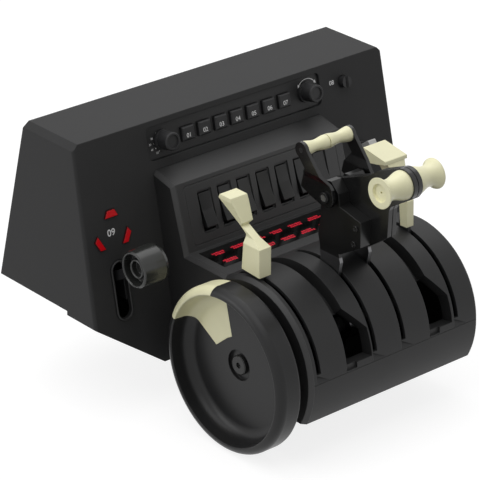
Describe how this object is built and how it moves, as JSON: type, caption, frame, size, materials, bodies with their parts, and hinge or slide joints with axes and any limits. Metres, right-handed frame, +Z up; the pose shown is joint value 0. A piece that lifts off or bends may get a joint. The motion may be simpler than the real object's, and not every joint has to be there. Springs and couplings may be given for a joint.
{
  "type": "throttle quadrant",
  "caption": "Desk-mounted flight throttle quadrant with a slotted lever drum, reversers, a trim wheel, side levers and a panel of switches.",
  "frame": {"origin": "middle of the rubber pad's lower face, on the desk's top", "axes": "+Z up, +Y away from the operator, +X to the operator's right"},
  "size_m": [0.3408, 0.3276, 0.2426],
  "materials": {
    "housing_black": "fine moulded texture",
    "rubber_pad": "matt",
    "board_green": "solder resist",
    "lamp_red": "translucent",
    "bracket_metal": "satin",
    "gloss_black": "gloss",
    "shaft_steel": "turned",
    "spacer_plastic": "natural acetal",
    "control_black": "satin",
    "lever_black": "satin",
    "ivory": "satin"
  },
  "bodies": {
    "housing": {"housing_shell": "housing_black", "base_plate": "housing_black", "desk_pad": "rubber_pad", "rear_cover": "housing_black", "control_board": "board_green", "gear_lamps": "lamp_red", "lever_bezels": "housing_black", "strip_panel": "housing_black", "key_board": "board_green", "side_lever_brackets": "bracket_metal", "pedestal_side_left": "housing_black", "pedestal_side_right": "housing_black", "console_cover": "housing_black", "drum_upper_shell": "housing_black", "drum_lower_shell": "housing_black", "rocker_panel": "housing_black", "annunciator_lens": "gloss_black", "shaft_supports": "bracket_metal", "main_shaft": "shaft_steel", "shaft_spacers": "spacer_plastic", "trim_end_screw": "shaft_steel"},
    "autopilot_button": {"autopilot_button": "control_black"},
    "key_1": {"key_1": "control_black"},
    "key_2": {"key_2": "control_black"},
    "key_3": {"key_3": "control_black"},
    "key_4": {"key_4": "control_black"},
    "key_5": {"key_5": "control_black"},
    "key_6": {"key_6": "control_black"},
    "key_7": {"key_7": "control_black"},
    "selector_knob": {"selector_knob": "control_black"},
    "encoder_knob": {"encoder_knob": "control_black"},
    "gear_lever": {"gear_arm": "bracket_metal", "gear_knob": "control_black"},
    "switch_lever": {"switch_lever": "ivory"},
    "rocker_1": {"rocker_1": "control_black"},
    "rocker_2": {"rocker_2": "control_black"},
    "rocker_3": {"rocker_3": "control_black"},
    "rocker_4": {"rocker_4": "control_black"},
    "rocker_5": {"rocker_5": "control_black"},
    "rocker_6": {"rocker_6": "control_black"},
    "rocker_7": {"rocker_7": "control_black"},
    "spoiler": {"spoiler_arm": "bracket_metal", "spoiler_lever": "ivory"},
    "flap": {"flap_arm": "bracket_metal", "flap_lever": "ivory"},
    "thrust_left": {"thrust_arm_left": "lever_black", "thrust_cheek_left": "gloss_black", "thrust_knob_left": "ivory", "thrust_screws_left": "shaft_steel"},
    "reverser_left": {"reverser_arm_left": "lever_black", "reverser_grip_left": "ivory"},
    "thrust_right": {"thrust_arm_right": "lever_black", "thrust_cheek_right": "gloss_black", "thrust_knob_right": "ivory", "thrust_screws_right": "shaft_steel"},
    "reverser_right": {"reverser_arm_right": "lever_black", "reverser_grip_right": "ivory"},
    "trim": {"trim_wheel": "lever_black", "trim_insert": "ivory"}
  },
  "joints": [
    {"name": "spoiler_swing", "type": "hinge", "parent": "housing", "child": "spoiler", "pos_m": [0, -0.1842, -0.0147], "axis": [1, 0, 0], "range_deg": [-8, 62]},
    {"name": "thrust_left_swing", "type": "hinge", "parent": "housing", "child": "thrust_left", "pos_m": [0, -0.1842, -0.0147], "axis": [1, 0, 0], "range_deg": [-20, 50]},
    {"name": "thrust_right_swing", "type": "hinge", "parent": "housing", "child": "thrust_right", "pos_m": [0, -0.1842, -0.0147], "axis": [1, 0, 0], "range_deg": [-20, 50]},
    {"name": "flap_swing", "type": "hinge", "parent": "housing", "child": "flap", "pos_m": [0, -0.1842, -0.0147], "axis": [1, 0, 0], "range_deg": [-18, 60]},
    {"name": "reverser_left_lift", "type": "hinge", "parent": "thrust_left", "child": "reverser_left", "pos_m": [0, -0.201, 0.1148], "axis": [1, 0, 0], "range_deg": [0, 55]},
    {"name": "reverser_right_lift", "type": "hinge", "parent": "thrust_right", "child": "reverser_right", "pos_m": [0, -0.201, 0.1148], "axis": [1, 0, 0], "range_deg": [0, 55]},
    {"name": "trim_turn", "type": "hinge", "parent": "housing", "child": "trim", "pos_m": [0, -0.1842, -0.0147], "axis": [1, 0, 0], "continuous": true},
    {"name": "gear_swing", "type": "hinge", "parent": "housing", "child": "gear_lever", "pos_m": [0, -0.052, 0.021], "axis": [1, 0, 0], "range_deg": [0, 55]},
    {"name": "switch_swing", "type": "hinge", "parent": "housing", "child": "switch_lever", "pos_m": [0, -0.044, 0.0465], "axis": [1, 0, 0], "range_deg": [0, 50]},
    {"name": "key_1_press", "type": "slide", "parent": "housing", "child": "key_1", "axis": [0, 0.9806, -0.1961], "range_m": [0, 0.0012], "stiffness_N_per_m": 400, "springref_m": -0.0006},
    {"name": "key_2_press", "type": "slide", "parent": "housing", "child": "key_2", "axis": [0, 0.9806, -0.1961], "range_m": [0, 0.0012], "stiffness_N_per_m": 400, "springref_m": -0.0006},
    {"name": "key_3_press", "type": "slide", "parent": "housing", "child": "key_3", "axis": [0, 0.9806, -0.1961], "range_m": [0, 0.0012], "stiffness_N_per_m": 400, "springref_m": -0.0006},
    {"name": "key_4_press", "type": "slide", "parent": "housing", "child": "key_4", "axis": [0, 0.9806, -0.1961], "range_m": [0, 0.0012], "stiffness_N_per_m": 400, "springref_m": -0.0006},
    {"name": "key_5_press", "type": "slide", "parent": "housing", "child": "key_5", "axis": [0, 0.9806, -0.1961], "range_m": [0, 0.0012], "stiffness_N_per_m": 400, "springref_m": -0.0006},
    {"name": "key_6_press", "type": "slide", "parent": "housing", "child": "key_6", "axis": [0, 0.9806, -0.1961], "range_m": [0, 0.0012], "stiffness_N_per_m": 400, "springref_m": -0.0006},
    {"name": "key_7_press", "type": "slide", "parent": "housing", "child": "key_7", "axis": [0, 0.9806, -0.1961], "range_m": [0, 0.0012], "stiffness_N_per_m": 400, "springref_m": -0.0006},
    {"name": "autopilot_press", "type": "slide", "parent": "housing", "child": "autopilot_button", "axis": [0, 0.9806, -0.1961], "range_m": [0, 0.0015], "stiffness_N_per_m": 400, "springref_m": -0.0006},
    {"name": "selector_turn", "type": "hinge", "parent": "housing", "child": "selector_knob", "pos_m": [-0.077, -0.05764, 0.1298], "axis": [0, 0.9806, -0.1961], "range_deg": [-60, 60]},
    {"name": "encoder_turn", "type": "hinge", "parent": "housing", "child": "encoder_knob", "pos_m": [0.078, -0.05764, 0.1298], "axis": [0, 0.9806, -0.1961], "continuous": true},
    {"name": "rocker_1_rock", "type": "hinge", "parent": "housing", "child": "rocker_1", "pos_m": [0, -0.08844, 0.07379], "axis": [1, 0, 0], "range_deg": [0, 18]},
    {"name": "rocker_2_rock", "type": "hinge", "parent": "housing", "child": "rocker_2", "pos_m": [0, -0.08844, 0.07379], "axis": [1, 0, 0], "range_deg": [0, 18]},
    {"name": "rocker_3_rock", "type": "hinge", "parent": "housing", "child": "rocker_3", "pos_m": [0, -0.08844, 0.07379], "axis": [1, 0, 0], "range_deg": [0, 18]},
    {"name": "rocker_4_rock", "type": "hinge", "parent": "housing", "child": "rocker_4", "pos_m": [0, -0.08844, 0.07379], "axis": [1, 0, 0], "range_deg": [0, 18]},
    {"name": "rocker_5_rock", "type": "hinge", "parent": "housing", "child": "rocker_5", "pos_m": [0, -0.08844, 0.07379], "axis": [1, 0, 0], "range_deg": [0, 18]},
    {"name": "rocker_6_rock", "type": "hinge", "parent": "housing", "child": "rocker_6", "pos_m": [0, -0.08844, 0.07379], "axis": [1, 0, 0], "range_deg": [0, 18]},
    {"name": "rocker_7_rock", "type": "hinge", "parent": "housing", "child": "rocker_7", "pos_m": [0, -0.08844, 0.07379], "axis": [1, 0, 0], "range_deg": [0, 18]}
  ]
}
